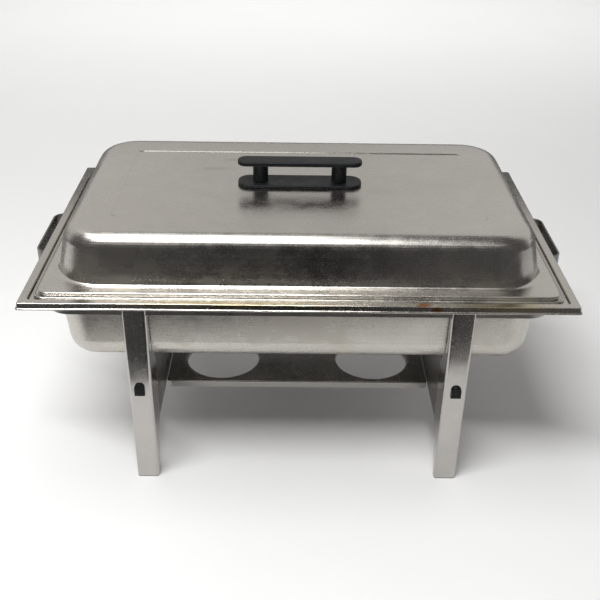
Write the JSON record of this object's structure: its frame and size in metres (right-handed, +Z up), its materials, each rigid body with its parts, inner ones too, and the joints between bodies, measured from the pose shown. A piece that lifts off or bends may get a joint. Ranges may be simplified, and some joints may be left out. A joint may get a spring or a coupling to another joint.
{
  "type": "chafing dish",
  "caption": "Full-size rectangular chafing dish: sheet-steel stand with fuel shelf, water pan, food pan and lift-off domed cover with black bar handle",
  "frame": {"origin": "on the table, midway between the two side handles and midway across the width", "axes": "+X along the length to the right-hand side handle, +Y to the rear, +Z up"},
  "size_m": [0.586, 0.3588, 0.322],
  "materials": {
    "frame_steel": "rolled stainless sheet and flat bar, dull, lightly worn",
    "leg_steel": "bright rolled stainless sheet, folded, fine scratches",
    "shelf_steel": "rolled stainless sheet, dull on top, bright on the lip",
    "water_pan_steel": "drawn stainless sheet, semi-bright, scratched and slightly stained",
    "food_pan_steel": "drawn stainless sheet, semi-bright",
    "cover_steel": "drawn stainless sheet, semi-bright, hazy with use",
    "black_plastic": "moulded black heat-resistant plastic, satin",
    "screw_steel": "plain machine screws and washers"
  },
  "bodies": {
    "stand": {"frame_ring": "frame_steel", "leg_front_left": "leg_steel", "leg_front_right": "leg_steel", "leg_rear_left": "leg_steel", "leg_rear_right": "leg_steel", "end_panel_left": "frame_steel", "end_panel_right": "frame_steel", "fuel_shelf": "shelf_steel", "side_handle_left": "frame_steel", "side_handle_right": "frame_steel", "stacking_lug_front_left": "black_plastic", "stacking_lug_front_right": "black_plastic", "stacking_lug_rear_left": "black_plastic", "stacking_lug_rear_right": "black_plastic"},
    "water_pan": {"water_pan": "water_pan_steel"},
    "food_pan": {"food_pan": "food_pan_steel"},
    "cover": {"cover": "cover_steel", "cover_handle_base": "black_plastic", "cover_handle_grip": "black_plastic", "handle_screw_left": "screw_steel", "handle_screw_right": "screw_steel", "handle_washer_left": "screw_steel", "handle_washer_right": "screw_steel"}
  },
  "joints": [
    {"name": "water_pan_lift", "type": "slide", "parent": "stand", "child": "water_pan", "axis": [0, 0, 1], "range_m": [0, 0.12]},
    {"name": "food_pan_lift", "type": "slide", "parent": "water_pan", "child": "food_pan", "axis": [0, 0, 1], "range_m": [0, 0.12]},
    {"name": "cover_lift", "type": "slide", "parent": "food_pan", "child": "cover", "axis": [0, 0, 1], "range_m": [0, 0.12]}
  ]
}
